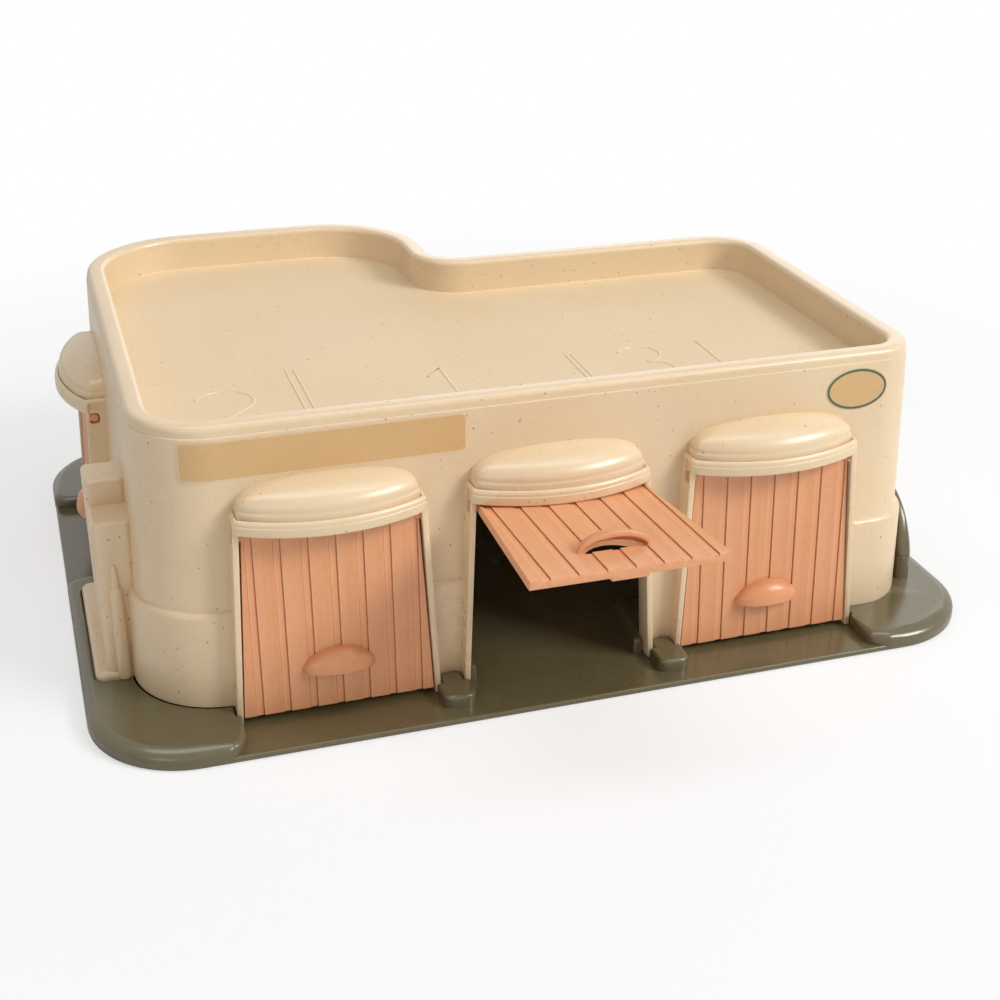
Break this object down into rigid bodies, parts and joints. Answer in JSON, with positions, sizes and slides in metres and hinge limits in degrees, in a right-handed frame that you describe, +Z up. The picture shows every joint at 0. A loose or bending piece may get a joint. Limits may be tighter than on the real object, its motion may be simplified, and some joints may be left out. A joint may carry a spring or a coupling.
{
  "type": "toy garage",
  "caption": "Toy garage with an L-shaped roof deck, planked bay doors that swing up under rounded hoods, a side bay and a raised-edge ground plate.",
  "frame": {"origin": "centre of the ground plate's flat underside", "axes": "+X to the right seen from the front doors, +Y to the back, +Z up"},
  "size_m": [0.38, 0.3491, 0.1244],
  "materials": {
    "shell_plastic": "satin sand-coloured bioplastic with fine dark flecks",
    "plate_plastic": "satin olive bioplastic",
    "door_plastic": "satin terracotta bioplastic",
    "label_film": "smooth peach film, bare"
  },
  "bodies": {
    "garage": {"base_plate": "plate_plastic", "garage_shell": "shell_plastic", "label_strip": "label_film", "label_oval": "label_film"},
    "left_door": {"front_door_left": "door_plastic"},
    "middle_door": {"front_door_middle": "door_plastic"},
    "right_door": {"front_door_right": "door_plastic"},
    "side_door": {"side_door": "door_plastic"}
  },
  "joints": [
    {"name": "left_door_hinge", "type": "hinge", "parent": "garage", "child": "left_door", "pos_m": [-0.0924, -0.1225, 0.08148], "axis": [-1, 0, 0], "range_deg": [0, 91]},
    {"name": "middle_door_hinge", "type": "hinge", "parent": "garage", "child": "middle_door", "pos_m": [0, -0.1225, 0.08148], "axis": [-1, 0, 0], "range_deg": [-91, 0]},
    {"name": "right_door_hinge", "type": "hinge", "parent": "garage", "child": "right_door", "pos_m": [0.0924, -0.1225, 0.08148], "axis": [-1, 0, 0], "range_deg": [0, 91]},
    {"name": "side_door_hinge", "type": "hinge", "parent": "garage", "child": "side_door", "pos_m": [-0.16925, 0.046, 0.08148], "axis": [0, 1, 0], "range_deg": [0, 91]}
  ]
}
